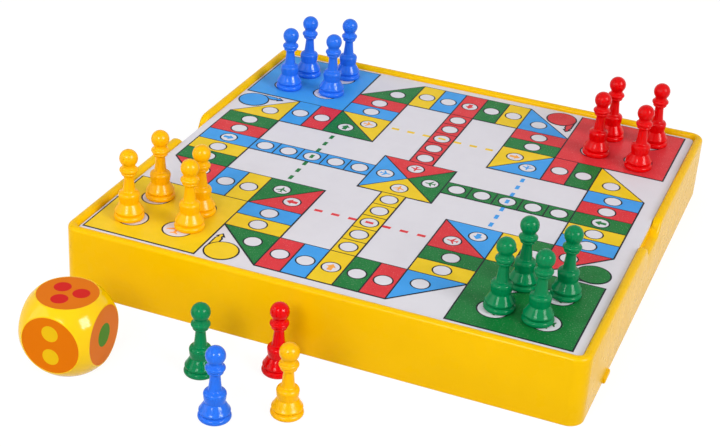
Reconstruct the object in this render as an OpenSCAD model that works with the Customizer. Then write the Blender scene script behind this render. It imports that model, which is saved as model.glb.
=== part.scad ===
// Ludo set: a square moulded tray with a lift-out playing board on its ledge,
// twenty turned pawns in four colours and one large rounded die.
// The origin is the middle of the tray's flat underside, +Y points to the back.

/* [Tray] */
// Outer side of the square tray
tray_side = 260; // [220:1:320]
// Height of the tray from the table to the top of its rim
tray_h = 35.5; // [30:0.5:50]
// Outer radius of the tray's upright corners
tray_corner_r = 7.5; // [6.5:0.5:14]
// Thickness of the tray's side walls
tray_wall = 2.4; // [1.6:0.1:4]
// Thickness of the tray's floor
tray_floor = 2; // [1.2:0.1:4]
// Width of the thick rim band, seen from above
rim_w = 4.6; // [4:0.1:6]
// Height of the thick rim band
rim_h = 14; // [10:0.5:18]
// Radius that rounds both top edges of the rim
rim_round = 1.9; // [1:0.1:1.9]
// How far the rim stands above the board
rim_lip = 2.4; // [1:0.1:4]
// Width of the ledge that carries the board
ledge_w = 4.5; // [3:0.5:8]
// Thickness of the ledge, which closes the finger notches on the inside
ledge_t = 4.5; // [2.5:0.1:6]
// How much rounder the board's corners are than the rim's inner corners
corner_ease = 0.5; // [0:0.1:1]

/* [Finger notches] */
// Width of a finger notch at the top of the rim
notch_top_w = 32; // [26:1:60]
// Depth of a finger notch below the top of the rim
notch_depth = 7.5; // [6:0.5:9]
// How far each end of a notch slopes inwards on its way down
notch_slope = 5; // [3:0.5:7]
// Radius between the floor and the ends of a notch
notch_r = 3; // [1:0.5:4]

/* [Wall lip] */
// Length of the small moulded lip at the foot of the right wall
lip_len = 9.5; // [6:0.5:24]
// How far the lip stands out of the wall
lip_out = 1.3; // [0.6:0.1:3]
// Height of the lip
lip_h = 2.5; // [1.5:0.5:6]
// Place of the lip's middle, measured towards the front
lip_place = 84.5; // [40:0.5:100]

/* [Board] */
// Thickness of the playing board
board_t = 2; // [1:0.1:4]
// Gap between the board's edge and the rim
board_gap = 0.4; // [0.2:0.1:1]
// Thickness of one printed layer
print_t = 0.12; // [0.05:0.01:0.3]

/* [Printed pattern] */
// Side of the board that the sizes of this section are drawn for, as the print follows the board
artwork_side = 249.2; // [248.5:0.1:280]
// Width of one track cell
cell_w = 13.1; // [11.5:0.1:13.2]
// Length of a track cell, and of the short sides of a corner triangle
cell_len = 29.6; // [26:0.1:30]
// Half of the middle square
middle_half = 20.2; // [17:0.1:22]
// How far a corner square reaches past the track
corner_margin = 3.4; // [1:0.1:3.6]
// Width of the black lines
line_w = 0.8; // [0.3:0.1:1]
// Radius of the white disc on a track cell
disc_r = 4.15; // [3:0.05:4.7]
// Radius of the white disc under a pawn in a corner square
home_disc_r = 7.1; // [6:0.1:8.6]
// Distance from the pattern's middle to each disc of the middle square
middle_disc_out = 12.5; // [10:0.1:13]
// Half of the distance between the discs of a corner square
home_disc_step = 12.2; // [11:0.1:13]
// Radius of the coloured start disc beside the track
start_r = 8.8; // [7:0.1:9]
// Distance from a corner square's edge to the middle of its start disc
start_along = 10.2; // [9.8:0.1:10.6]
// Distance from the track's outer edge in to the middle of a start disc
start_in = 5.1; // [4.6:0.1:5.6]
// Length of one dash of the dashed lines
dash_len = 4.2; // [3:0.1:4.3]
// Width of one dash
dash_w = 2; // [1:0.1:2.6]
// Distance from one dash to the next
dash_pitch = 9.1; // [9.1:0.1:9.8]
// Length of the arrows and the planes in the track's discs
icon_len = 6; // [4:0.1:7]
// Length of the planes in the corner squares' discs
home_icon_len = 10; // [6:0.1:12]
// How far a start arrow stands beside the middle of its disc
start_arrow_side = 6.4; // [6:0.1:6.8]
// Half of the width of a start arrow's shaft, to the middle of its black line
start_arrow_shaft = 1.75; // [1.4:0.05:1.8]
// Half of the width of a start arrow's neck, to the middle of its black line
start_arrow_neck = 0.75; // [0.6:0.05:1]
// Half of the width of a start arrow's head, to the middle of its black line
start_arrow_head = 1.75; // [1.5:0.05:1.9]
// How far the tip of a start arrow stands above the middle of its disc
start_arrow_tip = 15; // [14.5:0.1:15.4]
// How far the print's middle lies left of the board's middle
print_left = 1.7; // [0:0.1:2]
// How far the print's middle lies behind the board's middle
print_back = 0.9; // [0:0.1:2]

/* [Pawns] */
// Radius of the foot
foot_r = 7.5; // [6.5:0.1:8]
// Height of the rounded foot ring
foot_h = 3.0; // [2:0.1:4]
// Radius of the bell above the foot
bell_r = 7.1; // [6:0.1:7.8]
// Height at which the bell is widest
bell_z = 4.4; // [4:0.1:5]
// Radius that rounds the bell's edge
bell_round = 0.9; // [0.7:0.1:1]
// Radius of the waist above the bell
waist_r = 4.5; // [4:0.1:5]
// Height of the waist
waist_z = 8.8; // [8:0.1:10]
// Radius of the middle ring
ring_r = 5.2; // [4.8:0.1:6]
// Height of the middle of the middle ring
ring_z = 12.7; // [12:0.1:14]
// Radius that rounds the middle ring
ring_round = 2; // [1.4:0.1:2.2]
// Radius of the stem at its foot
stem_low_r = 3.1; // [2.2:0.1:3.2]
// Radius of the stem under the collar
stem_high_r = 2.35; // [1.8:0.05:2.8]
// Radius of the small lip under the collar
collar_lip_r = 3.7; // [3:0.1:4.2]
// Height of the small lip under the collar
collar_lip_z = 24.2; // [23.5:0.1:24.6]
// Radius that rounds the small lip
collar_lip_round = 0.8; // [0.6:0.1:1]
// Radius of the collar
collar_r = 4.5; // [4:0.1:5]
// Height of the middle of the collar
collar_z = 26.1; // [25.8:0.1:26.6]
// Radius that rounds the collar
collar_round = 1.2; // [1:0.1:1.4]
// Radius of the round head
head_r = 4.5; // [4:0.1:5]
// Height of the middle of the head
head_z = 32.2; // [31:0.1:33]

/* [Die] */
// Size of the die across its flats
die_flats = 35; // [30:0.5:40]
// How far the ball that rounds the die would reach past each of its flats
die_bulge = 5.2; // [4.2:0.1:6.4]
// Gap between the edge of a face and its coloured disc
die_disc_margin = 0.45; // [0.2:0.05:1.5]
// Depth of the coloured discs and the pips
die_inlay = 0.6; // [0.3:0.1:1.5]
// Radius of the pips on the two and the three
pip_r = 4; // [3:0.1:4.2]
// Radius of the one's single pip
one_pip_r = 5.5; // [4:0.1:7]
// Distance of the outer pips from the middle of a two or a three
pip_ring = 6; // [5:0.1:7]
// Distance of the outer pips from the middle of a four or a five, along and across
pip_spread = 6.2; // [5.8:0.1:6.6]
// Distance from the middle of a six to each of its two rows
six_side = 5; // [4:0.1:5.6]
// Distance between the pips in a row of a six
six_step = 7.1; // [6.2:0.1:7.4]
// Radius of a pip on the four, five and six
small_pip_r = 2.9; // [2:0.1:3]

/* [Places on the table] */
// Place of the die beside the tray
die_x = -95.9; // [-110:0.1:-80]
// Distance from the tray's front wall to the middle of the die
die_front = 51.2; // [34:0.1:70]
// Turn of the die
die_turn = 3; // [-20:1:20]
// Distance from the tray's front wall to the nearer row of loose pawns
loose_front = 35.5; // [30:0.1:50]
// Spacing of the loose pawns from left to right
loose_step = 31; // [26:0.1:40]

/* [Hidden] */
$fn = 96;
GREEN = 0;
RED = 1;
BLUE = 2;
YELLOW = 3;
INK_NAME = ["green", "red", "blue", "yellow"];
INK = [[0.16, 0.52, 0.28], [0.87, 0.26, 0.27], [0.25, 0.62, 0.91], [0.94, 0.79, 0.10]];
PLASTIC = [[0.02, 0.52, 0.30], [0.93, 0.06, 0.08], [0.18, 0.45, 0.93], [1.00, 0.76, 0.10]];

half = tray_side / 2;
board_side = tray_side - 2 * rim_w - 2 * board_gap;
board_corner_r = tray_corner_r - rim_w + corner_ease;
board_top = tray_h - rim_lip;
ledge_top = board_top - board_t;
play_z = board_top + 2 * print_t;
// Small overshoot that keeps cutting faces from lying on the faces they cut
over = 1;
// How far a pawn's slopes flare out as they meet a ring
flare = 0.35;

// The pattern from its own middle, at the artwork's size. The track's arms are five cells wide.
print_scale = board_side / artwork_side;
track_in = 2.5 * cell_w;
track_mid = track_in + cell_len;
track_step = track_mid + cell_w;
track_out = track_step + cell_w;
pattern_half = track_out + cell_len;
corner_out = pattern_half + corner_margin;
home_cell = (track_out - middle_half) / 5;
corner_mid = (track_mid + corner_out) / 2;

// Quarter turns about the pattern's middle
function turned(p, q) =
    q % 4 == 0 ? p : q % 4 == 1 ? [-p.y, p.x] : q % 4 == 2 ? [-p.x, -p.y] : [p.y, -p.x];
function turned_all(points, q) = [for (p = points) turned(p, q)];
function box_points(x0, y0, x1, y1) = [[x0, y0], [x1, y0], [x1, y1], [x0, y1]];
function middle_of(points) =
    let (n = len(points))
    [for (k = [0, 1]) let (s = [for (p = points) p[k]]) (s * [for (p = points) 1]) / n];

// A convex outline, counter-clockwise, drawn in by d on every side, or let out if d is negative
function normal_in(a, b) = let (v = b - a) [-v.y, v.x] / norm(v);
function drawn_in(points, d) =
    let (n = len(points))
    [for (i = [0:n - 1])
        let (m = normal_in(points[(i + n - 1) % n], points[i]),
             k = normal_in(points[i], points[(i + 1) % n]))
        points[i] + (m + k) * d / (1 + m * k)];

// The thirteen track cells of the front quarter, from the left triangle round to the right arm
function track_cell(j) =
    j == 0 ? [[-track_mid, -track_out], [-track_in, -pattern_half], [-track_in, -track_out]] :
    j <= 5 ? box_points(-track_in + (j - 1) * cell_w, -pattern_half,
                        -track_in + j * cell_w, -track_out) :
    j == 6 ? [[track_in, -track_out], [track_in, -pattern_half], [track_mid, -track_out]] :
    j == 7 ? box_points(track_in, -track_out, track_mid, -track_step) :
    j == 8 ? box_points(track_in, -track_step, track_mid, -track_mid) :
    j == 9 ? [[track_in, -track_mid], [track_mid, -track_mid], [track_in, -track_in]] :
    j == 10 ? [[track_mid, -track_mid], [track_mid, -track_in], [track_in, -track_in]] :
    j == 11 ? box_points(track_mid, -track_mid, track_step, -track_in) :
              box_points(track_step, -track_mid, track_out, -track_in);
function track_colour(q, j) = (13 * q + j) % 4;
function side_colour(q) = (q + 3) % 4;
function dash_colour(q) = (q + 1) % 4;
function home_cell_points(i) =
    box_points(-cell_w / 2, -middle_half - (i + 1) * home_cell, cell_w / 2, -middle_half - i * home_cell);
middle_cell = [[0, 0], [-middle_half, -middle_half], [middle_half, -middle_half]];
corner_square = box_points(track_mid, -corner_out, corner_out, -track_mid);
home_places = [for (v = [-1, 1], u = [-1, 1])
    [corner_mid + u * home_disc_step, -corner_mid + v * home_disc_step]];
start_place = [-track_mid + start_along, -pattern_half + start_in];
middle_disc = [0, -middle_disc_out];
// The third home cell, whose disc a dashed line runs through
DASHED_CELL = 2;

// How far off the middle of its disc each pawn was put down
PAWN_NUDGE = [
    [[2.2, 2.0], [-3.4, -0.5], [6.0, 1.7], [2.1, 2.4]],
    [[1.2, -1.8], [1.5, -7.5], [3.3, -1.7], [2.9, 1.5]],
    [[2.6, 1.1], [1.9, -2.6], [1.4, 3.8], [4.2, -4.2]],
    [[4.2, 4.0], [-1.8, -0.5], [2.0, -3.9], [1.3, 1.0]]
];
// The corner of the board that each colour has, as signs along x and y
CORNER = [[1, -1], [1, 1], [-1, 1], [-1, -1]];
function pawn_place(colour, i) =
    let (u = colour == GREEN || colour == RED ? [-1, 1, -1, 1] : [1, -1, 1, -1],
         v = [-1, -1, 1, 1],
         mid = CORNER[colour] * corner_mid)
    mid + [u[i], v[i]] * home_disc_step + PAWN_NUDGE[colour][i];
// Column, and distance behind the nearer row, of each loose pawn
LOOSE_PLACE = [[-1.02, 1.1], [-0.02, 17.6], [-0.33, -27.2], [0.54, -10.6]];
// Where the columns of the loose pawns are counted from
loose_x = -6.8;

// A plate or block with upright round edges, its base at z = 0
module rounded_block(side, h, r) {
    linear_extrude(h) {
        square([side - 2 * r, side], center = true);
        square([side, side - 2 * r], center = true);
        for (sx = [-1, 1], sy = [-1, 1])
            translate([sx, sy] * (side / 2 - r)) circle(r);
    }
}

// Section of the side: the thin wall below, the thick rim band above, both top edges rounded
module side_section() {
    translate([rim_w - tray_wall, 0]) square([tray_wall, tray_h - rim_h + over]);
    translate([0, tray_h - rim_h]) square([rim_w, rim_h - rim_round]);
    translate([rim_round, tray_h - rim_h]) square([rim_w - 2 * rim_round, rim_h]);
    for (x = [rim_round, rim_w - rim_round])
        translate([x, tray_h - rim_round]) circle(rim_round);
}

// The side runs round the tray: four straight lengths and four quarter turns
module tray_sides() {
    run = tray_side - 2 * tray_corner_r;
    for (a = [0:90:270]) rotate(a) {
        translate([half - rim_w, run / 2, 0]) rotate([90, 0, 0])
            linear_extrude(run) side_section();
        translate([run / 2, run / 2, 0]) rotate_extrude(angle = 90)
            translate([tray_corner_r - rim_w, 0]) side_section();
    }
}

// Outline of a finger notch: a flat floor, round inner corners and sloping ends
module notch_outline() {
    lean = atan(notch_slope / notch_depth);
    floor_half = notch_top_w / 2 - notch_slope;
    corner_x = floor_half - notch_r * tan((90 - lean) / 2);
    top = notch_depth + over;
    wide = floor_half + top * tan(lean);
    meet = [corner_x + notch_r * cos(lean), notch_r * (1 - sin(lean))];
    polygon([[-corner_x, 0], [corner_x, 0], meet, [wide, top], [-wide, top], [-meet.x, meet.y]]);
    for (s = [-1, 1]) translate([s * corner_x, notch_r]) circle(notch_r);
}

// A notch cuts the rim alone. The ledge behind it stays, and closes it towards the well.
module finger_notch() {
    start = half - rim_w - board_gap / 2;
    translate([start, 0, tray_h - notch_depth])
        rotate([90, 0, 90]) linear_extrude(half - start + over) notch_outline();
}

module tray() {
    well = tray_side - 2 * rim_w - 2 * ledge_w;
    color([0.97, 0.77, 0.12]) difference() {
        union() {
            tray_sides();
            rounded_block(tray_side - tray_wall, tray_floor, tray_corner_r - tray_wall / 2);
            translate([0, 0, ledge_top - ledge_t]) difference() {
                rounded_block(tray_side - rim_w, ledge_t, tray_corner_r - rim_w / 2);
                translate([0, 0, -over]) rounded_block(well, ledge_t + 2 * over, board_corner_r);
            }
            translate([half - over, -lip_place - lip_len / 2, 0])
                cube([over + lip_out, lip_len, lip_h]);
        }
        finger_notch();
        rotate(180) finger_notch();
    }
}

module board_panel() {
    color([0.88, 0.87, 0.89]) translate([0, 0, ledge_top])
        rounded_block(board_side, board_t, board_corner_r);
}

// Printed shapes at the artwork's size, on the first or the second layer of ink
module ink(layer) {
    translate([-print_left, print_back, board_top + layer * print_t])
        linear_extrude(print_t) scale(print_scale) children();
}

// Something drawn for the front quarter, moved to its place there and turned to a quarter
module at_quarter(place, q) {
    translate(turned(place, q)) rotate(90 * q) children();
}

// The arrow that leads out of a start disc, drawn with its edge moved out by a margin. Its tail
// lies inside the disc, its shaft narrows to a neck and its head is a small triangle.
module start_arrow(margin) {
    tail = start_r / 6;
    shoulder = start_arrow_tip - 4.7;
    neck = start_arrow_tip - 3;
    wing = start_arrow_tip - 2.4 - margin;
    // A sharp tip moves further than the edges beside it
    tip = start_arrow_tip + 1.7 * margin;
    side = [[start_arrow_shaft + margin, tail], [start_arrow_shaft + margin, shoulder + margin / 2],
        [start_arrow_neck + margin, neck], [start_arrow_head + 2 * margin, wing]];
    translate([-start_arrow_side, 0])
        polygon(concat(side, [[0, tip]], [for (i = [3:-1:0]) [-side[i].x, side[i].y]]));
}

// Outline of a block arrow that points up, in shares of its length
BLOCK_ARROW = [[-0.2, -0.5], [0.2, -0.5], [0.2, 0], [0.42, 0], [0, 0.5], [-0.42, 0], [-0.2, 0]];
// Right half of a plane seen from above, nose up, in shares of its length
PLANE_SIDE = [[0, 0.5], [0.08, 0.36], [0.08, 0.14], [0.5, -0.14], [0.5, -0.24], [0.08, -0.1],
    [0.06, -0.32], [0.2, -0.43], [0.2, -0.5], [0, -0.44]];
module plane(length) {
    last = len(PLANE_SIDE) - 2;
    polygon(length * concat(PLANE_SIDE, [for (i = [last:-1:1]) [-PLANE_SIDE[i].x, PLANE_SIDE[i].y]]));
}

module block_arrow() {
    polygon(icon_len * BLOCK_ARROW);
}

// Three of a quarter's track discs hold an icon, as do its middle disc and its home discs
function has_icon(j) = j == 3 || j == 9 || j == 10;
module track_icon(j) {
    if (j == 3) block_arrow();
    if (j == 9) rotate(90) plane(icon_len);
    if (j == 10) rotate(180) block_arrow();
}
module middle_icon() {
    plane(icon_len);
}
module home_icon() {
    rotate(90) plane(home_icon_len);
}
module dash() {
    square([dash_len, dash_w], center = true);
}

// The black lines are one sheet under the colours, which leave it bare between them
module print_lines() {
    out = -line_w / 2;
    color([0.10, 0.12, 0.18]) ink(0) {
        for (q = [0:3]) {
            polygon(drawn_in(turned_all([[-track_mid, -track_out], [-track_in, -pattern_half],
                [track_in, -pattern_half], [track_mid, -track_out]], q), out));
            polygon(drawn_in(turned_all(
                box_points(track_in, -track_out, track_mid, -track_in), q), out));
            polygon(drawn_in(turned_all(
                box_points(track_mid, -track_mid, track_out, -track_in), q), out));
            polygon(drawn_in(turned_all(
                box_points(-cell_w / 2, -track_out, cell_w / 2, -middle_half), q), out));
            polygon(drawn_in(turned_all(corner_square, q), out));
            translate(turned(start_place, q)) circle(start_r);
            at_quarter(start_place, q) start_arrow(line_w / 2);
        }
        polygon(drawn_in(box_points(-middle_half, -middle_half, middle_half, middle_half), out));
    }
}

// A coloured cell, drawn in by half a line, with its disc's hole
module cell_with_hole(points, place, r) {
    ink(1) difference() {
        polygon(drawn_in(points, line_w / 2));
        translate(place) circle(r + line_w);
    }
}

// The icons of one colour; those of the yellow fields are printed orange
module icons(c) {
    ink(1) for (q = [0:3]) {
        for (j = [0:12]) if (has_icon(j) && track_colour(q, j) == c)
            at_quarter(middle_of(track_cell(j)), q) track_icon(j);
        if (side_colour(q) == c) at_quarter(middle_disc, q) middle_icon();
        if (q == c) for (p = home_places) at_quarter(p, q) home_icon();
    }
}

module print_colour(c) {
    dash_row = middle_of(home_cell_points(DASHED_CELL));
    color(INK[c]) {
        for (q = [0:3]) {
            for (j = [0:12]) if (track_colour(q, j) == c) {
                points = turned_all(track_cell(j), q);
                cell_with_hole(points, middle_of(points), disc_r);
            }
            if (side_colour(q) == c) {
                for (i = [0:4]) {
                    points = turned_all(home_cell_points(i), q);
                    cell_with_hole(points, middle_of(points), disc_r);
                }
                cell_with_hole(turned_all(middle_cell, q), turned(middle_disc, q), disc_r);
                ink(1) translate(turned(start_place, q)) circle(start_r - line_w);
                ink(1) at_quarter(start_place, q) difference() {
                    start_arrow(-line_w / 2);
                    circle(start_r);
                }
            }
            if (q == c)
                ink(1) difference() {
                    polygon(drawn_in(turned_all(corner_square, q), line_w / 2));
                    for (p = home_places) translate(turned(p, q)) circle(home_disc_r + line_w);
                }
            if (dash_colour(q) == c) {
                ink(1) at_quarter(dash_row, q) dash();
                for (k = [-3:3]) if (k != 0)
                    ink(0) at_quarter(dash_row + [k * dash_pitch, 0], q) dash();
            }
        }
        if (c != YELLOW) icons(c);
    }
}

module print_orange() {
    color([0.92, 0.55, 0.10]) icons(YELLOW);
}

// The white discs are let in between the colours, with room for what is printed in them
module print_white() {
    color([0.88, 0.87, 0.89]) ink(1) for (q = [0:3]) {
        for (j = [0:12]) at_quarter(middle_of(track_cell(j)), q)
            if (has_icon(j)) difference() {
                circle(disc_r);
                track_icon(j);
            }
            else circle(disc_r);
        for (i = [0:4]) at_quarter(middle_of(home_cell_points(i)), q)
            if (i == DASHED_CELL) difference() {
                circle(disc_r);
                dash();
            }
            else circle(disc_r);
        at_quarter(middle_disc, q) difference() {
            circle(disc_r);
            middle_icon();
        }
        for (p = home_places) at_quarter(p, q) difference() {
            circle(home_disc_r);
            home_icon();
        }
    }
}

// Half of a pawn's section, to be turned about its upright axis
module pawn_section() {
    foot_round = foot_h / 2;
    neck_r = collar_r - collar_round;
    intersection() {
        union() {
            square([foot_r - foot_round, foot_h]);
            translate([foot_r - foot_round, foot_round]) circle(foot_round);
            translate([bell_r - bell_round, bell_z]) circle(bell_round);
            polygon([[0, foot_h - flare], [bell_r - flare, foot_h - flare], [bell_r, bell_z],
                [bell_r - flare, bell_z + 2 * flare], [waist_r + 1.5 * flare, waist_z - 2 * flare],
                [waist_r, waist_z],
                [waist_r + flare / 2, waist_z + 2 * flare], [ring_r - flare, ring_z - 4 * flare],
                [ring_r - flare / 2, ring_z], [0, ring_z]]);
            translate([ring_r - ring_round, ring_z]) circle(ring_round);
            polygon([[0, ring_z], [ring_r - ring_round, ring_z],
                [ring_r - ring_round, ring_z + ring_round],
                [stem_low_r, ring_z + ring_round + flare / 2],
                [(stem_low_r + stem_high_r) / 2, (ring_z + collar_lip_z) / 2],
                [stem_high_r, collar_lip_z - 4 * flare], [stem_high_r + flare, collar_lip_z - 2 * flare],
                [stem_high_r, head_z], [0, head_z]]);
            translate([collar_lip_r - collar_lip_round, collar_lip_z]) circle(collar_lip_round);
            translate([neck_r, collar_z]) circle(collar_round);
            polygon([[0, collar_lip_z - collar_lip_round],
                [collar_lip_r - collar_lip_round, collar_lip_z - collar_lip_round],
                [collar_lip_r - flare, collar_lip_z + flare], [neck_r, collar_z - collar_round],
                [neck_r, collar_z + collar_round], [neck_r, collar_z + collar_round + 2 * flare],
                [neck_r, head_z - head_r / 2], [0, head_z]]);
            translate([0, head_z]) circle(head_r);
        }
        square([foot_r + over, head_z + head_r + over]);
    }
}

module pawn(colour) {
    color(PLASTIC[colour]) rotate_extrude() pawn_section();
}

module board_pawn(colour, i) {
    place = print_scale * pawn_place(colour, i);
    translate([place.x - print_left, place.y + print_back, play_z]) pawn(colour);
}

module loose_pawn(colour) {
    place = LOOSE_PLACE[colour];
    translate([loose_x + place.x * loose_step, -half - loose_front + place.y, 0]) pawn(colour);
}

// The die's own frame has its middle at the origin. Faces are numbered so that opposite
// faces add up to seven: 3 on top, 2 to the front, 1 to the right.
module die_at_place() {
    translate([die_x, -half - die_front, die_flats / 2]) rotate(die_turn) children();
}
FACE_TURN = [[0, 90, 0], [90, 0, 0], [0, 0, 0], [180, 0, 0], [-90, 0, 0], [0, -90, 0]];
die_ball = die_flats + 2 * die_bulge;
die_disc_r = sqrt(pow(die_ball / 2, 2) - pow(die_flats / 2, 2)) - die_disc_margin;
function pips(value) =
    value == 1 ? [[0, 0]] :
    value == 2 ? [[-pip_ring, 0], [pip_ring, 0]] :
    value == 3 ? [for (k = [0:2]) pip_ring * [cos(20 + 120 * k), sin(20 + 120 * k)]] :
    value == 4 ? [for (u = [-1, 1], v = [-1, 1]) pip_spread * [u, v]] :
    value == 5 ? concat([[0, 0]], [for (u = [-1, 1], v = [-1, 1]) pip_spread * [u, v]]) :
                 [for (u = [-1, 1], v = [-1, 0, 1]) [u * six_side, v * six_step]];
function pip_turn(value) = value == 2 ? 90 : 0;
function pip_size(value) = value == 1 ? one_pip_r : value <= 3 ? pip_r : small_pip_r;

// Something set into one face, flush with it
module on_face(value) {
    rotate(FACE_TURN[value - 1]) rotate(pip_turn(value))
        translate([0, 0, die_flats / 2 - die_inlay]) children();
}

module face_pips(value) {
    on_face(value) linear_extrude(die_inlay)
        for (p = pips(value)) translate(p) circle(pip_size(value));
}

module die_body() {
    color([0.97, 0.80, 0.10]) die_at_place() difference() {
        intersection() {
            cube(die_flats, center = true);
            sphere(d = die_ball);
        }
        for (value = [1:6]) on_face(value) cylinder(h = die_inlay + over, r = die_disc_r);
    }
}

module die_discs() {
    color([0.90, 0.48, 0.08]) die_at_place() for (value = [1:6])
        on_face(value) linear_extrude(die_inlay) difference() {
            circle(die_disc_r);
            for (p = pips(value)) translate(p) circle(pip_size(value));
        }
}

module die_pips(colour, values) {
    color(colour) die_at_place() for (value = values) face_pips(value);
}

tray();
board_panel();
print_lines();
print_white();
print_orange();
for (c = [0:3]) {
    print_colour(c);
    for (i = [0:3])
        board_pawn(c, i);
    loose_pawn(c);
}
die_body();
die_discs();
die_pips([0.80, 0.15, 0.12], [3, 4]);  // die_pips_red
die_pips([0.90, 0.75, 0.12], [2, 5]);  // die_pips_yellow
die_pips([0.35, 0.55, 0.02], [1, 6]);  // die_pips_green
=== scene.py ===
# %% [markdown]
# # A ludo set in a moulded tray
# The set is a square yellow tray with a printed board lying on a ledge inside its rim, turned
# pawns in four colours and a large rounded die. The printed cells and the board are plates of
# the frame and stay as they are. The tray, the pawns and the die are modelled again here,
# because their soft round edges are what catches the light.

import math
import random

import bmesh
import bpy
from mathutils import Matrix, Vector


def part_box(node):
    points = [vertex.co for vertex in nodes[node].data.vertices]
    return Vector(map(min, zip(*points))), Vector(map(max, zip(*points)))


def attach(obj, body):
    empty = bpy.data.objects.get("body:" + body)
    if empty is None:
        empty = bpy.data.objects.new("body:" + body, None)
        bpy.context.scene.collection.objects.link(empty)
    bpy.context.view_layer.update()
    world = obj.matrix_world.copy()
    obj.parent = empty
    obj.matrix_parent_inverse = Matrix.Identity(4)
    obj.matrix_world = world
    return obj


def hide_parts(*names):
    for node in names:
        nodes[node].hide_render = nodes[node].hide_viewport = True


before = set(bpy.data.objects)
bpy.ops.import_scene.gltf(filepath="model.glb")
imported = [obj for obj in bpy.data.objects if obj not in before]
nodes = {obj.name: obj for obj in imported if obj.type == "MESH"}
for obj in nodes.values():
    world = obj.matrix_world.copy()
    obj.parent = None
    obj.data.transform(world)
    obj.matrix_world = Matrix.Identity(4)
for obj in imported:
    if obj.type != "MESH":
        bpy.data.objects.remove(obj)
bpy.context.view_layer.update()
mm = 0.001

# %% [markdown]
# ## The camera
# The photograph was taken from the right and above with a long lens, and the camera was turned
# a little about its own view. The camera could be aimed with three angles about the world's
# axes. An azimuth, an elevation and a roll say more plainly where it looks from, so its turn is
# built from them, and its place is a point in millimetres.

# %% Camera
CAMERA_AZIMUTH = math.radians(20.02)
CAMERA_ELEVATION = math.radians(28.43)
CAMERA_ROLL = math.radians(3.83)
CAMERA_PLACE = Vector((227.7, -696.7, 402.1)) * mm
LENS_MM = 78.5
SENSOR_MM = 36

camera_data = bpy.data.cameras.new("camera")
camera_data.lens = LENS_MM
camera_data.sensor_width = SENSOR_MM
camera = bpy.data.objects.new("camera", camera_data)
bpy.context.scene.collection.objects.link(camera)
turn = (
    Matrix.Rotation(CAMERA_AZIMUTH, 4, "Z")
    @ Matrix.Rotation(math.pi / 2 - CAMERA_ELEVATION, 4, "X")
    @ Matrix.Rotation(CAMERA_ROLL, 4, "Z")
)
camera.matrix_world = Matrix.Translation(CAMERA_PLACE) @ turn
bpy.context.scene.camera = camera
bpy.context.scene.view_settings.view_transform = "Standard"
print("camera at", [round(v, 3) for v in CAMERA_PLACE])

# %% [markdown]
# ## Nodes
# Every shader below is a small tree of nodes. A socket takes either a plain value or the output
# of another node, so one helper does both, and the others are built on it.

# %% Node helpers
WHITE = (1, 1, 1, 1)


def feed(tree, socket, value):
    """Links another node's output into a socket, or sets the socket to a plain value."""
    if isinstance(value, bpy.types.NodeSocket):
        tree.links.new(value, socket)
    else:
        socket.default_value = value


def math_node(tree, operation, first, second):
    """One arithmetic step between sockets or numbers."""
    made = tree.nodes.new("ShaderNodeMath")
    made.operation = operation
    feed(tree, made.inputs[0], first)
    feed(tree, made.inputs[1], second)
    return made.outputs[0]


def new_material(name):
    """A material with only its shader and its output, its node tree, and the shader."""
    material = bpy.data.materials.new(name)
    material.use_nodes = True
    tree = material.node_tree
    return material, tree, tree.nodes["Principled BSDF"]


def seen_or_reflected(tree):
    """One for a ray from the camera, or one that a mirror or glass sends on, else nothing."""
    rays = tree.nodes.new("ShaderNodeLightPath").outputs
    found = math_node(tree, "MAXIMUM", rays["Is Camera Ray"], rays["Is Glossy Ray"])
    return math_node(tree, "MAXIMUM", found, rays["Is Transmission Ray"])


def whiten(tree, share, lit, white, output):
    """Mixes a lit shader with a white one by a share, and shows the result."""
    blend = tree.nodes.new("ShaderNodeMixShader")
    tree.links.new(share, blend.inputs[0])
    tree.links.new(lit.outputs[0], blend.inputs[1])
    tree.links.new(white.outputs[0], blend.inputs[2])
    tree.links.new(blend.outputs[0], tree.nodes[output].inputs[0])


print("node helpers ready")

# %% [markdown]
# ## The floor
# The set stands on a pale lit floor. What looks at the floor straight on or by a reflection sees
# it whitened, as the photograph was. More light would whiten it too, but it would also bleach
# the set. So a share of white is mixed in for those rays alone, and the rest of the floor's
# colour keeps the set's soft shadows.

# %% Floor
FLOOR_SIZE = 12.0
FLOOR_PALE = 0.55
FLOOR_ROUGHNESS = 0.9
FLOOR_SHINE = 0.1
FLOOR_GLOW = 1.27
GLOW_SHARE = 0.7


def floor_white():
    """A pale lit floor, whitened where it is seen or reflected, with its shadows kept."""
    material, tree, shader = new_material("floor_white")
    shader.inputs["Base Color"].default_value = (FLOOR_PALE, FLOOR_PALE, FLOOR_PALE, 1)
    shader.inputs["Roughness"].default_value = FLOOR_ROUGHNESS
    shader.inputs["Specular IOR Level"].default_value = FLOOR_SHINE
    glow = tree.nodes.new("ShaderNodeEmission")
    glow.inputs["Color"].default_value = WHITE
    glow.inputs["Strength"].default_value = FLOOR_GLOW
    share = math_node(tree, "MULTIPLY", seen_or_reflected(tree), GLOW_SHARE)
    whiten(tree, share, shader, glow, "Material Output")
    return material


bpy.ops.mesh.primitive_plane_add(size=FLOOR_SIZE, location=(0, 0, 0))
floor = bpy.context.active_object
floor.name = "floor"
floor.data.materials.append(floor_white())
print("floor side:", FLOOR_SIZE, "m")

# %% [markdown]
# ## The world
# The world is white where it is seen or reflected, and gives the set a weaker white light from
# all round.

# %% World
WORLD_LIGHT = 0.47
WORLD_SHOWN = 1.0


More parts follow.
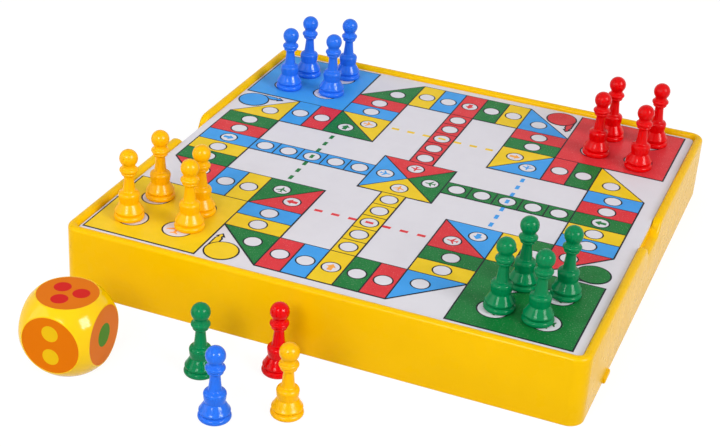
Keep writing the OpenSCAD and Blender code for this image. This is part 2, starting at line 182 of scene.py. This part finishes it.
def white_world():
    """White behind everything, and a weaker white for the light that it gives."""
    world = bpy.data.worlds.new("studio")
    bpy.context.scene.world = world
    world.use_nodes = True
    tree = world.node_tree
    soft = tree.nodes["Background"]
    shown = tree.nodes.new("ShaderNodeBackground")
    for background, strength in ((soft, WORLD_LIGHT), (shown, WORLD_SHOWN)):
        background.inputs["Color"].default_value = WHITE
        background.inputs["Strength"].default_value = strength
    whiten(tree, seen_or_reflected(tree), soft, shown, "World Output")


white_world()
print("world light:", WORLD_LIGHT)

# %% [markdown]
# ## The lamps
# Three square soft boxes light the set: a large one to the right, a small one in front and a
# weak one to the left. The first two show as the two bright spots on every pawn's head. Each of
# these has a twin that only reflections see, so the spots can be bright without more light on
# the set.

# %% Lamps
def soft_box(name, azimuth, elevation, distance, size, power, gleam=0):
    """A square lamp that looks at the middle of the tray, and its twin for the reflections."""
    a, e = math.radians(azimuth), math.radians(elevation)
    back = Vector((math.sin(a) * math.cos(e), -math.cos(a) * math.cos(e), math.sin(e)))
    for label, energy, lights_matt in ((name, power, True), (f"{name}_gleam", gleam, False)):
        if energy == 0:
            continue
        lamp = bpy.data.lights.new(label, "AREA")
        lamp.shape = "SQUARE"
        lamp.size = size
        lamp.energy = energy
        holder = bpy.data.objects.new(label, lamp)
        bpy.context.scene.collection.objects.link(holder)
        holder.location = back * distance
        holder.rotation_mode = "QUATERNION"
        holder.rotation_quaternion = (-back).to_track_quat("-Z", "Y")
        holder.visible_diffuse = lights_matt


soft_box("key_box", azimuth=73, elevation=31, distance=6.0, size=2.3, power=175, gleam=620)
soft_box("front_box", azimuth=-3, elevation=32, distance=1.3, size=0.33, power=4.2, gleam=13)
soft_box("left_fill", azimuth=-52, elevation=22, distance=1.25, size=0.8, power=4.6)
print("lamps:", [lamp.name for lamp in bpy.data.lights])

# %% [markdown]
# ## Small helpers
# Modelling by operators works on what is selected, so a few helpers do the selecting: one makes
# an object the only one selected, one opens it in edit mode, and one picks its faces, edges or
# corners by a test on their place. The others close a piece: they move its place into its mesh,
# turn its faces outwards and soften its shading, give it its material and body, and hide the
# frame's node that it replaces.

# %% Selecting
SELECT_MODES = {"verts": "VERT", "edges": "EDGE", "faces": "FACE"}
MERGE_REACH = 0.01 * mm


def only(obj):
    """Leaves obj alone selected and active, in object mode."""
    if bpy.context.mode != "OBJECT":
        bpy.ops.object.mode_set(mode="OBJECT")
    bpy.ops.object.select_all(action="DESELECT")
    obj.select_set(True)
    bpy.context.view_layer.objects.active = obj


def edit(obj):
    """Opens obj in edit mode with nothing selected, ready for faces."""
    only(obj)
    bpy.ops.object.mode_set(mode="EDIT")
    bpy.ops.mesh.select_mode(type="FACE")
    bpy.ops.mesh.select_all(action="DESELECT")


def pick(obj, kind, test):
    """Selects, in edit mode, the verts, edges or faces that pass the test. Returns how many."""
    bpy.ops.mesh.select_mode(type=SELECT_MODES[kind])
    bpy.ops.mesh.select_all(action="DESELECT")
    shape = bmesh.from_edit_mesh(obj.data)
    shape.normal_update()
    found = [item for item in getattr(shape, kind) if test(item)]
    for item in found:
        item.select_set(True)
    shape.select_flush_mode()
    bmesh.update_edit_mesh(obj.data)
    return len(found)


print("kinds to pick:", list(SELECT_MODES))


# %% Closing a piece
def place_in_mesh(obj):
    """Moves the object's place, turn and size into its mesh."""
    only(obj)
    bpy.ops.object.transform_apply(location=True, rotation=True, scale=True)
    return obj


def leave_edit(obj, soft_below):
    """Closes edit mode, faces outwards, with soft shading where faces meet below an angle."""
    bpy.ops.mesh.select_all(action="SELECT")
    bpy.ops.mesh.remove_doubles(threshold=MERGE_REACH)
    bpy.ops.mesh.normals_make_consistent(inside=False)
    bpy.ops.object.mode_set(mode="OBJECT")
    bpy.ops.object.shade_smooth_by_angle(angle=math.radians(soft_below))


def finish_piece(obj, material, body, replaced):
    """Gives a finished piece its material, slot and body, and hides the frame's node it replaces.
    """
    obj.data.materials.clear()
    obj.data.materials.append(material)
    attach(obj, body)
    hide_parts(replaced)


print("corners closer than", MERGE_REACH / mm, "mm become one")

# %% [markdown]
# ## Finishes
# Nearly everything here is moulded plastic or printed card. Both finishes are used for many
# colours, so each is a node group that is built once and placed in every material with its own
# values. Both read object coordinates, so a pattern has its true size: the numbers of grains
# below are grains in a metre.

# %% Pattern helpers
# A Mix node keeps its colour sockets behind those for numbers and vectors.
MIX_FACTOR, MIX_FIRST, MIX_SECOND, MIX_RESULT = 0, 6, 7, 2
GROUP_RESULTS = [
    ("Color", "NodeSocketColor"),
    ("Roughness", "NodeSocketFloat"),
    ("Height", "NodeSocketFloat"),
]


def new_group(name, inputs):
    """A shader node group with named sockets, with its first and its last node."""
    tree = bpy.data.node_groups.new(name, "ShaderNodeTree")
    for socket, kind, value in inputs:
        made = tree.interface.new_socket(socket, in_out="INPUT", socket_type=kind)
        made.default_value = value
    for socket, kind in GROUP_RESULTS:
        tree.interface.new_socket(socket, in_out="OUTPUT", socket_type=kind)
    return tree, tree.nodes.new("NodeGroupInput").outputs, tree.nodes.new("NodeGroupOutput").inputs


def noise(tree, grains, detail):
    """Noise of so many grains in a metre, on object coordinates."""
    made = tree.nodes.new("ShaderNodeTexNoise")
    made.inputs["Scale"].default_value = grains
    made.inputs["Detail"].default_value = detail
    tree.links.new(tree.nodes.new("ShaderNodeTexCoord").outputs["Object"], made.inputs["Vector"])
    return made.outputs["Fac"]


def spread(tree, value, low, high, to_low, to_high):
    """Maps a value from one range to another, clamped."""
    made = tree.nodes.new("ShaderNodeMapRange")
    made.inputs["From Min"].default_value = low
    made.inputs["From Max"].default_value = high
    feed(tree, made.inputs["To Min"], to_low)
    feed(tree, made.inputs["To Max"], to_high)
    feed(tree, made.inputs["Value"], value)
    return made.outputs["Result"]


def mixed(tree, factor, first, second, blend="MIX"):
    """Mixes two colours by a factor."""
    made = tree.nodes.new("ShaderNodeMix")
    made.data_type = "RGBA"
    made.blend_type = blend
    feed(tree, made.inputs[MIX_FACTOR], factor)
    feed(tree, made.inputs[MIX_FIRST], first)
    feed(tree, made.inputs[MIX_SECOND], second)
    return made.outputs[MIX_RESULT]


print("results of each group:", [name for name, kind in GROUP_RESULTS])

# %% [markdown]
# Moulded plastic isn't perfectly even. It has a slow waviness from the way it shrank, which
# also makes its colour a little uneven, a fine peel from the mould, and gloss that handling has
# dulled in patches.

# %% Moulded plastic
SLOW_GRAINS, WEAR_GRAINS, PEEL_GRAINS = 28.0, 95.0, 900.0
UNEVEN_TINT = (0.93, 0.915, 0.90, 1)
UNEVEN_MOST = 0.55
WAVE_SHARE, PEEL_SHARE = 0.8, 0.05


def moulded_skin():
    """Moulded plastic: slow waviness, a fine peel, and gloss dulled in patches."""
    tree, given, out = new_group(
        "moulded_skin",
        [
            ("Color", "NodeSocketColor", WHITE),
            ("Roughness", "NodeSocketFloat", 0.25),
            ("Wear", "NodeSocketFloat", 0.08),
        ],
    )
    slow = noise(tree, SLOW_GRAINS, detail=2.0)
    patches = noise(tree, WEAR_GRAINS, detail=5.0)
    peel = noise(tree, PEEL_GRAINS, detail=2.0)
    darker = mixed(tree, 1.0, given["Color"], UNEVEN_TINT, "MULTIPLY")
    tone = spread(tree, slow, low=0.35, high=0.65, to_low=0.0, to_high=UNEVEN_MOST)
    feed(tree, out["Color"], mixed(tree, tone, given["Color"], darker))
    worn = spread(tree, patches, low=0.45, high=0.75, to_low=0.0, to_high=given["Wear"])
    feed(tree, out["Roughness"], math_node(tree, "ADD", given["Roughness"], worn))
    wave = math_node(tree, "MULTIPLY", slow, WAVE_SHARE)
    fine = math_node(tree, "MULTIPLY", peel, PEEL_SHARE)
    feed(tree, out["Height"], math_node(tree, "ADD", wave, fine))
    return tree


MOULDED_SKIN = moulded_skin()
print("node group:", MOULDED_SKIN.name)

# %% [markdown]
# Ink on card is broken up too: a soft mottle shows how the ink lay, and fine pale specks are
# left where it missed the card.

# %% Printed card
LAY_GRAINS, SPECK_GRAINS = 140.0, 1500.0
CARD_TINT = (0.80, 0.74, 0.70, 1)
DEEP_TINT = (0.88, 0.87, 0.88, 1)
SPECK_PALENESS = 0.5


def printed_grain():
    """A printed colour: a soft mottle from the ink's lay, and fine specks that missed it."""
    tree, given, out = new_group(
        "printed_grain",
        [
            ("Color", "NodeSocketColor", WHITE),
            ("Specks", "NodeSocketFloat", 0.5),
            ("Mottle", "NodeSocketFloat", 0.5),
        ],
    )
    lay = noise(tree, LAY_GRAINS, detail=4.0)
    grain = noise(tree, SPECK_GRAINS, detail=2.0)
    pale = mixed(tree, SPECK_PALENESS, given["Color"], CARD_TINT)
    missed = spread(tree, grain, low=0.62, high=0.72, to_low=0.0, to_high=1.0)
    speck = math_node(tree, "MULTIPLY", missed, given["Specks"])
    speckled = mixed(tree, speck, given["Color"], pale)
    deep = mixed(tree, 1.0, speckled, DEEP_TINT, "MULTIPLY")
    thick = spread(tree, lay, low=0.4, high=0.62, to_low=0.0, to_high=1.0)
    depth = math_node(tree, "MULTIPLY", thick, given["Mottle"])
    feed(tree, out["Color"], mixed(tree, depth, speckled, deep))
    gloss = spread(tree, lay, low=0.3, high=0.7, to_low=0.34, to_high=0.46)
    feed(tree, out["Roughness"], gloss)
    feed(tree, out["Height"], grain)
    return tree


PRINTED_GRAIN = printed_grain()
print("node group:", PRINTED_GRAIN.name)

# %% [markdown]
# Colours are written as they look on the photograph, from 0 to 255, and turned into the linear
# values that the shader wants. The constant parts of a finish, such as how strongly it shines,
# are set on the shader itself. The shine is low throughout, because the white room would wash
# the colours out.

# %% Materials
def seen(red, green, blue):
    """A colour as a screen shows it, in the shader's linear values."""

    def linear(value):
        share = value / 255
        return share / 12.92 if share <= 0.04045 else ((share + 0.055) / 1.055) ** 2.4

    return (linear(red), linear(green), linear(blue), 1)


def finish(name, group, values, relief, strength, shine):
    """A material whose colour, roughness and relief come from a node group."""
    material, tree, shader = new_material(name)
    skin = tree.nodes.new("ShaderNodeGroup")
    skin.node_tree = group
    for socket, value in values.items():
        skin.inputs[socket].default_value = value
    bump = tree.nodes.new("ShaderNodeBump")
    bump.inputs["Strength"].default_value = strength
    bump.inputs["Distance"].default_value = relief
    tree.links.new(skin.outputs["Height"], bump.inputs["Height"])
    tree.links.new(bump.outputs["Normal"], shader.inputs["Normal"])
    tree.links.new(skin.outputs["Color"], shader.inputs["Base Color"])
    tree.links.new(skin.outputs["Roughness"], shader.inputs["Roughness"])
    shader.inputs["Specular IOR Level"].default_value = shine
    return material


PLASTIC_RELIEF = 0.02 * mm
PLASTIC_STRENGTH = 1.0
TRAY_RELIEF = 0.012 * mm
PRINT_RELIEF = 0.03 * mm
PRINT_STRENGTH = 0.25
PRINT_SHINE = 0.1


def plastic(name, colour, roughness, wear, shine, relief=PLASTIC_RELIEF):
    """Moulded plastic of one colour."""
    values = {"Color": colour, "Roughness": roughness, "Wear": wear}
    return finish(name, MOULDED_SKIN, values, relief, PLASTIC_STRENGTH, shine)


def printed(name, colour, specks, mottle):
    """One ink of the board's print."""
    values = {"Color": colour, "Specks": specks, "Mottle": mottle}
    return finish(name, PRINTED_GRAIN, values, PRINT_RELIEF, PRINT_STRENGTH, PRINT_SHINE)


TRAY_YELLOW = plastic(
    "tray_yellow", seen(247, 194, 0), roughness=0.27, wear=0.06, shine=0.07, relief=TRAY_RELIEF
)
BOARD_PALE = printed("board_pale", seen(224, 221, 228), specks=0.0, mottle=0.12)
INKS = {
    "black": printed("ink_black", seen(22, 27, 38), specks=0.1, mottle=0.2),
    "white": printed("ink_white", seen(224, 221, 228), specks=0.0, mottle=0.08),
    "green": printed("ink_green", seen(12, 119, 52), specks=0.55, mottle=0.7),
    "red": printed("ink_red", seen(222, 52, 60), specks=0.5, mottle=0.4),
    "blue": printed("ink_blue", seen(64, 160, 236), specks=0.2, mottle=0.35),
    "yellow": printed("ink_yellow", seen(242, 204, 26), specks=0.2, mottle=0.35),
    "orange": printed("ink_orange", seen(246, 166, 70), specks=0.2, mottle=0.4),
}
print("inks:", list(INKS))

# %% [markdown]
# The pawns' plastic is glossier than the tray's, the yellow one's a little less than the others'.
# The die is one plastic, with the discs and pips let into it in a duller one.

# %% Pawn and die colours
PAWN_LOOKS = {
    "green": dict(colour=seen(0, 130, 76), roughness=0.08, wear=0.03, shine=0.12),
    "red": dict(colour=seen(224, 0, 4), roughness=0.08, wear=0.03, shine=0.12),
    "blue": dict(colour=seen(36, 112, 234), roughness=0.12, wear=0.05, shine=0.14),
    "yellow": dict(colour=seen(252, 184, 0), roughness=0.22, wear=0.08, shine=0.1),
}
PAWN_PLASTIC = {
    colour: plastic(f"pawn_{colour}_plastic", **look) for colour, look in PAWN_LOOKS.items()
}
INLAY = dict(roughness=0.3, wear=0.1, shine=0.05)
DIE_YELLOW = plastic(
    "die_yellow_plastic", seen(247, 200, 0), roughness=0.1, wear=0.04, shine=0.18
)
DIE_ORANGE = plastic("die_orange_face", seen(222, 114, 0), **INLAY)
DIE_PIPS = {
    "red": plastic("die_red_pip", seen(208, 30, 24), **INLAY),
    "yellow": plastic("die_yellow_pip", seen(232, 186, 16), **INLAY),
    "green": plastic("die_green_pip", seen(70, 130, 0), **INLAY),
}
print("pawns:", list(PAWN_PLASTIC), "pips:", list(DIE_PIPS))

# %% [markdown]
# The board, its printed layers and the die's discs and pips are right as the frame has them. So
# they keep their meshes, and only their materials are new.

# %% Dressing the frame's own nodes
def dress(node, material):
    """Gives one of the frame's own nodes its material and slot."""
    obj = nodes[node]
    obj.data.materials.clear()
    obj.data.materials.append(material)


dress("board_panel", BOARD_PALE)
dress("print_lines", INKS["black"])
for colour in ("white", "orange", "green", "red", "blue", "yellow"):
    dress(f"print_{colour}", INKS[colour])
dress("die_discs", DIE_ORANGE)
for colour, material in DIE_PIPS.items():
    dress(f"die_pips_{colour}", material)
print("materials:", len(bpy.data.materials))

# %% [markdown]
# ## The tray
# The real tray is one injection moulding. It could be built from walls and a floor, but then
# seams would show where they meet. So it is modelled as one closed shell: a block with round
# corners, its top face inset and pushed down in steps for the rim, the ledge, the rim's thick
# band and the well.

# %% Tray sizes
TRAY_SIDE = 260 * mm
TRAY_H = 35.5 * mm
CORNER_R = 7.5 * mm
RIM_W = 4.6 * mm
RIM_BAND_H = 14 * mm
LEDGE_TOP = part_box("board_panel")[0].z
LEDGE_W = 4.5 * mm
LEDGE_T = 4.5 * mm
WALL = 2.4 * mm
FLOOR_T = 2 * mm
rim_inner = TRAY_SIDE / 2 - RIM_W
ledge_inner = rim_inner - LEDGE_W
ledge_low = LEDGE_TOP - LEDGE_T
print("ledge top at", round(LEDGE_TOP / mm, 2), "mm, inside of rim at", round(rim_inner / mm, 2))


# %% Tray shell
CORNER_STEPS = 12
LOOKS_UP = 0.9


def step_down(depth):
    """Pushes the selected face down, with walls around it."""
    bpy.ops.mesh.extrude_region_move(TRANSFORM_OT_translate={"value": (0, 0, -depth)})


def step_to(from_half, to_half):
    """Widens or narrows the selected face in its own plane, with a flat step around it."""
    share = to_half / from_half
    bpy.ops.mesh.extrude_region_move(TRANSFORM_OT_translate={"value": (0, 0, 0)})
    bpy.ops.transform.resize(value=(share, share, 1), center_override=(0, 0, 0))


bpy.ops.mesh.primitive_cube_add(
    size=1, location=(0, 0, TRAY_H / 2), scale=(TRAY_SIDE, TRAY_SIDE, TRAY_H)
)
tray = place_in_mesh(bpy.context.active_object)
tray.name = "tray_shell"
edit(tray)
upright = pick(tray, "edges", lambda e: abs((e.verts[0].co - e.verts[1].co).z) > TRAY_H / 2)
bpy.ops.mesh.bevel(offset=CORNER_R, segments=CORNER_STEPS, affect="EDGES")
pick(tray, "faces", lambda f: f.normal.z > LOOKS_UP)
bpy.ops.mesh.inset(thickness=RIM_W, use_even_offset=True)
step_down(TRAY_H - LEDGE_TOP)
step_to(rim_inner, ledge_inner)
step_down(LEDGE_T)
step_to(ledge_inner, rim_inner)
step_down(RIM_BAND_H - (TRAY_H - LEDGE_TOP) - LEDGE_T)
step_to(rim_inner, TRAY_SIDE / 2 - WALL)
step_down(TRAY_H - RIM_BAND_H - FLOOR_T)
print("upright edges rounded:", upright)

# %% [markdown]
# Each finger notch is a dip in the rim with a slope at either end. Cutting it out with another
# shape would leave ragged faces. Four cuts across the tray give the places where the slopes
# start and end instead, and the corners between the inner two move down.

# %% Finger notches
NOTCH_TOP = 16 * mm
NOTCH_FLOOR = 11 * mm
NOTCH_DEPTH = 7.5 * mm
RIM_ROUND = 1.9 * mm
FOLD_ROUNDS = 1.4
FOLD_STEP = 0.4 * mm
NEAR = 0.02 * mm

for y in (-NOTCH_TOP, -NOTCH_FLOOR, NOTCH_FLOOR, NOTCH_TOP):
    bpy.ops.mesh.select_all(action="SELECT")
    bpy.ops.mesh.bisect(plane_co=(0, y, 0), plane_no=(0, 1, 0), threshold=MERGE_REACH)


def is_near(value, target):
    """Whether two lengths are the same but for rounding."""
    return abs(value - target) < NEAR


def in_notch(point):
    """Whether a point of the rim or the ledge lies between a notch's slopes."""
    return abs(point.y) < NOTCH_FLOOR + NEAR and abs(point.x) > ledge_inner - NEAR


def drop(x_half, z, to_x_half, to_z):
    """Moves both notches' corners at one place of the section to another."""
    for side in (-1, 1):
        moved = pick(
            tray,
            "verts",
            lambda v: in_notch(v.co) and is_near(v.co.x, side * x_half) and is_near(v.co.z, z),
        )
        shift = (side * (to_x_half - x_half), 0, to_z - z)
        bpy.ops.transform.translate(value=shift)
    return moved


notch_floor_z = TRAY_H - NOTCH_DEPTH
fold = notch_floor_z - FOLD_ROUNDS * RIM_ROUND
moved = drop(TRAY_SIDE / 2, TRAY_H, TRAY_SIDE / 2, notch_floor_z)
drop(rim_inner, TRAY_H, rim_inner, notch_floor_z)
drop(rim_inner, LEDGE_TOP, rim_inner, fold)
drop(ledge_inner, LEDGE_TOP, rim_inner, fold - FOLD_STEP)
drop(ledge_inner, ledge_low, rim_inner, fold - 2 * FOLD_STEP)
drop(rim_inner, ledge_low, rim_inner, fold - 3 * FOLD_STEP)
print("corners moved at each place of a notch:", moved)

# %% [markdown]
# The edges are rounded last, so that the soft round of the rim runs down through each notch as
# it does on the real one. The edges where a slope starts or ends come first, then the rim's
# long edges, then the foot.

# %% Rim edges
NOTCH_ROUND = 3.5 * mm
FOOT_ROUND = 0.7 * mm
RIM_STEPS = 6
FOOT_STEPS = 3
UPRIGHT_BELOW, LEVEL_ABOVE = 0.1, 0.3


def depth_in(point):
    """How far a point lies inwards from the tray's outer outline, seen from above."""
    flat = TRAY_SIDE / 2 - CORNER_R
    x, y = abs(point.x) - flat, abs(point.y) - flat
    return CORNER_R - math.hypot(max(x, 0), max(y, 0)) - min(max(x, y), 0)


def at_slope_end(y):
    """Whether a slope of a notch starts or ends there."""
    return min(abs(abs(y) - NOTCH_TOP), abs(abs(y) - NOTCH_FLOOR)) < NEAR


def across_rim(edge):
    """An edge across the top of the rim where a notch's slope starts or ends."""
    a, b = edge.verts[0].co, edge.verts[1].co
    depths = sorted((depth_in(a), depth_in(b)))
    spans_rim = is_near(depths[0], 0) and is_near(depths[1], RIM_W)
    return is_near(a.y, b.y) and at_slope_end(a.y) and spans_rim and a.z > notch_floor_z - NEAR


def rim_edge(edge):
    """A long edge of the rim's top, outer or inner, at any height it has through a notch."""
    a, b = edge.verts[0].co, edge.verts[1].co
    if len(edge.link_faces) != 2 or min(a.z, b.z) < notch_floor_z - NEAR or not edge.is_convex:
        return False
    up = sorted(abs(f.normal.z) for f in edge.link_faces)
    outer = all(is_near(depth_in(p), 0) for p in (a, b))
    inner = all(is_near(depth_in(p), RIM_W) for p in (a, b)) and min(a.z, b.z) > LEDGE_TOP
    return (outer or inner) and up[0] < UPRIGHT_BELOW and up[1] > LEVEL_ABOVE


def foot_edge(edge):
    """An edge of the outline on which the tray stands."""
    return all(is_near(v.co.z, 0) and is_near(depth_in(v.co), 0) for v in edge.verts)


slopes = pick(tray, "edges", across_rim)
bpy.ops.mesh.bevel(offset=NOTCH_ROUND, segments=RIM_STEPS, affect="EDGES")
long_edges = pick(tray, "edges", rim_edge)
bpy.ops.mesh.bevel(offset=RIM_ROUND, segments=RIM_STEPS, affect="EDGES")
foot_edges = pick(tray, "edges", foot_edge)
bpy.ops.mesh.bevel(offset=FOOT_ROUND, segments=FOOT_STEPS, affect="EDGES")
leave_edit(tray, soft_below=32)
print("slope edges:", slopes, "rim edges:", long_edges, "foot edges:", foot_edges)

# %% [markdown]
# A small lip stands out at the foot of the right wall. Behind each notch the ledge goes on, so
# that no gap shows under the board's edge. These three are blocks with soft edges, sunk into
# the moulding they belong to.

# %% Lip and notch backs
LIP_LENGTH = 9.5 * mm
LIP_OUT = 1.3 * mm
LIP_H = 2.5 * mm
LIP_PLACE = 84.5 * mm
LIP_ROUND = 0.6 * mm
BACK_ROUND = 0.4 * mm
BLOCK_STEPS = 4
SUNK = 0.1 * mm


def soft_block(low, high, soft, test):
    """A block between two corners, with the edges that pass the test rounded."""
    low, high = Vector(low), Vector(high)
    bpy.ops.mesh.primitive_cube_add(size=1, location=(low + high) / 2, scale=high - low)
    block = place_in_mesh(bpy.context.active_object)
    edit(block)
    pick(block, "edges", test)
    bpy.ops.mesh.bevel(offset=soft, segments=BLOCK_STEPS, affect="EDGES")
    leave_edit(block, soft_below=40)
    return block


def outer_lip_edge(edge):
    """An edge of the lip that stands clear of the wall."""
    return all(v.co.x > TRAY_SIDE / 2 for v in edge.verts)


back_top = LEDGE_TOP - SUNK
back_outer = rim_inner + SUNK


def back_edge(edge):
    """The upper outer edge of a notch's back."""
    return all(is_near(v.co.z, back_top) and is_near(abs(v.co.x), back_outer) for v in edge.verts)


parts = [
    soft_block(
        (TRAY_SIDE / 2 - LIP_OUT, -LIP_PLACE - LIP_LENGTH / 2, 0),
        (TRAY_SIDE / 2 + LIP_OUT, -LIP_PLACE + LIP_LENGTH / 2, LIP_H),
        LIP_ROUND,
        outer_lip_edge,
    )
]
for side in (-1, 1):
    x_low, x_high = sorted((side * ledge_inner, side * back_outer))
    parts.append(
        soft_block(
            (x_low, -NOTCH_TOP, ledge_low + SUNK),
            (x_high, NOTCH_TOP, back_top),
            BACK_ROUND,
            back_edge,
        )
    )
only(tray)
for part in parts:
    part.select_set(True)
bpy.ops.object.join()
finish_piece(tray, TRAY_YELLOW, "tray", "tray")
print("tray triangles:", sum(len(p.vertices) - 2 for p in tray.data.polygons))

# %% [markdown]
# ## The pawns
# A pawn is a turned shape. It could be stacked from balls and cones, but its beads and slopes
# run into each other, so its outline is drawn once, from the foot to the top of the head, and
# spun about the upright axis. The outline is made of round beads joined by slopes.

# %% Pawn outline
def bead(centre_r, centre_z, radius, start, end, steps):
    """Points of a round bead in the outline, from one angle to another, in degrees."""
    made = []
    for i in range(steps + 1):
        angle = math.radians(start + (end - start) * i / steps)
        made.append((centre_r + radius * math.cos(angle), centre_z + radius * math.sin(angle)))
    return made


def pawn_outline():
    """Radius and height in millimetres, from the middle of the underside up to the crown."""
    foot = [(0.0, 0.0), (6.1, 0.0)] + bead(6.0, 1.5, 1.5, -72, 62, 8) + [(6.55, 2.95)]
    bell = bead(6.2, 4.4, 0.9, -58, 48, 6)
    bell += [(6.68, 5.2), (6.2, 6.05), (5.65, 7.0), (5.02, 8.1)]
    waist = [(4.72, 8.5), (4.58, 8.8), (4.66, 9.2), (4.9, 10.2), (5.06, 11.3)]
    shoulder = bead(3.2, 12.7, 2.0, -20, 84, 9)
    neck = [(3.2, 14.85), (3.04, 15.4), (2.82, 17.0), (2.58, 19.2)]
    neck += [(2.4, 21.4), (2.36, 22.5), (2.5, 23.1), (2.8, 23.4)]
    collar = bead(2.9, 24.2, 0.8, -70, 40, 6) + [(3.58, 24.85)]
    collar += bead(3.3, 26.1, 1.2, -48, 80, 9) + [(3.3, 27.6), (3.22, 28.3), (3.16, 28.7)]
    head = bead(0.0, 32.2, 4.5, -44, 90, 22)[1:]
    return foot + bell + waist + shoulder + neck + collar + head


OUTLINE = pawn_outline()
print("outline points:", len(OUTLINE), "height:", round(OUTLINE[-1][1], 2), "mm")


# %% Pawn model
PAWN_TURNS = 56


def turned_pawn():
    """Draws the outline by extruding a corner from point to point, then spins it."""
    bpy.ops.mesh.primitive_plane_add(size=mm)
    pawn = bpy.context.active_object
    pawn.name = "pawn_master"
    bpy.ops.object.mode_set(mode="EDIT")
    bpy.ops.mesh.select_mode(type="VERT")
    bpy.ops.mesh.select_all(action="SELECT")
    bpy.ops.mesh.merge(type="CENTER")
    for (r0, z0), (r1, z1) in zip(OUTLINE, OUTLINE[1:]):
        bpy.ops.mesh.extrude_region_move(
            TRANSFORM_OT_translate={"value": ((r1 - r0) * mm, 0, (z1 - z0) * mm)}
        )
    bpy.ops.mesh.select_all(action="SELECT")
    bpy.ops.mesh.spin(steps=PAWN_TURNS, angle=2 * math.pi, center=(0, 0, 0), axis=(0, 0, 1))
    leave_edit(pawn, soft_below=50)
    return pawn


pawn_master = turned_pawn()
print("corners of one pawn:", len(pawn_master.data.vertices))

# %% [markdown]
# The one pawn is copied to every place where the frame has a pawn, each copy with its own mesh
# and turned by a chance angle, so that the plastic's waviness differs from pawn to pawn.

# %% Pawn copies
TURN_SEED = 7
random.seed(TURN_SEED)
pawns = [node for node in sorted(nodes) if node.startswith("pawn_")]
for node in pawns:
    colour = node.split("_")[1]
    low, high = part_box(node)
    copy = bpy.data.objects.new(f"{node}_turned", pawn_master.data.copy())
    bpy.context.scene.collection.objects.link(copy)
    spot = Matrix.Translation(((low.x + high.x) / 2, (low.y + high.y) / 2, low.z))
    copy.data.transform(spot @ Matrix.Rotation(random.uniform(0, math.pi), 4, "Z"))
    finish_piece(copy, PAWN_PLASTIC[colour], node, node)
bpy.data.objects.remove(pawn_master)
print("pawns:", len(pawns))

# %% [markdown]
# ## The die
# The die is a ball cut flat on six sides. Rounding a cube wouldn't give its round flats, and
# cutting a ball with planes does. A second cut close above each flat leaves a narrow band on
# the ball beside its rim. The shading is soft across the rim, and the band keeps that softness
# narrow, as on the real, tumbled edge. Each flat is inset and pushed in a little, as the seat
# of its coloured disc.

# %% Die
DIE_BALL = 45.4 * mm
DIE_DISC_R = 14.0 * mm
DIE_INLAY = 0.6 * mm
DIE_TURN = math.radians(3)
RIM_BAND = 0.2 * mm
CUT_REACH = 0.001 * mm
FLAT_CORNERS = 40
SAME_WAY = 0.99
DIRECTIONS = [
    Vector(d) for d in ((1, 0, 0), (-1, 0, 0), (0, 1, 0), (0, -1, 0), (0, 0, 1), (0, 0, -1))
]
die_low, die_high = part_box("die_body")
die_middle = (die_low + die_high) / 2
die_half = (die_high.z - die_low.z) / 2
flat_r = math.sqrt((DIE_BALL / 2) ** 2 - die_half**2)


def is_flat(face):
    """Whether a face is one of the cut flats, which have far more corners than the ball's."""
    return len(face.verts) > FLAT_CORNERS


bpy.ops.mesh.primitive_uv_sphere_add(segments=96, ring_count=48, radius=DIE_BALL / 2)
die = bpy.context.active_object
die.name = "die_ball"
edit(die)
for way in DIRECTIONS:
    for reach, cut_off in ((die_half - RIM_BAND, False), (die_half, True)):
        bpy.ops.mesh.select_all(action="SELECT")
        bpy.ops.mesh.bisect(
            plane_co=way * reach,
            plane_no=way,
            use_fill=cut_off,
            clear_outer=cut_off,
            threshold=CUT_REACH,
        )
flats = pick(die, "faces", is_flat)
bpy.ops.mesh.inset(thickness=flat_r - DIE_DISC_R, use_individual=True)
for way in DIRECTIONS:
    pick(die, "faces", lambda f: is_flat(f) and f.normal.dot(way) > SAME_WAY)
    bpy.ops.mesh.extrude_region_move(TRANSFORM_OT_translate={"value": -way * DIE_INLAY})
leave_edit(die, soft_below=45)
die.data.transform(Matrix.Translation(die_middle) @ Matrix.Rotation(DIE_TURN, 4, "Z"))
finish_piece(die, DIE_YELLOW, "die", "die_body")
print("flats:", flats)
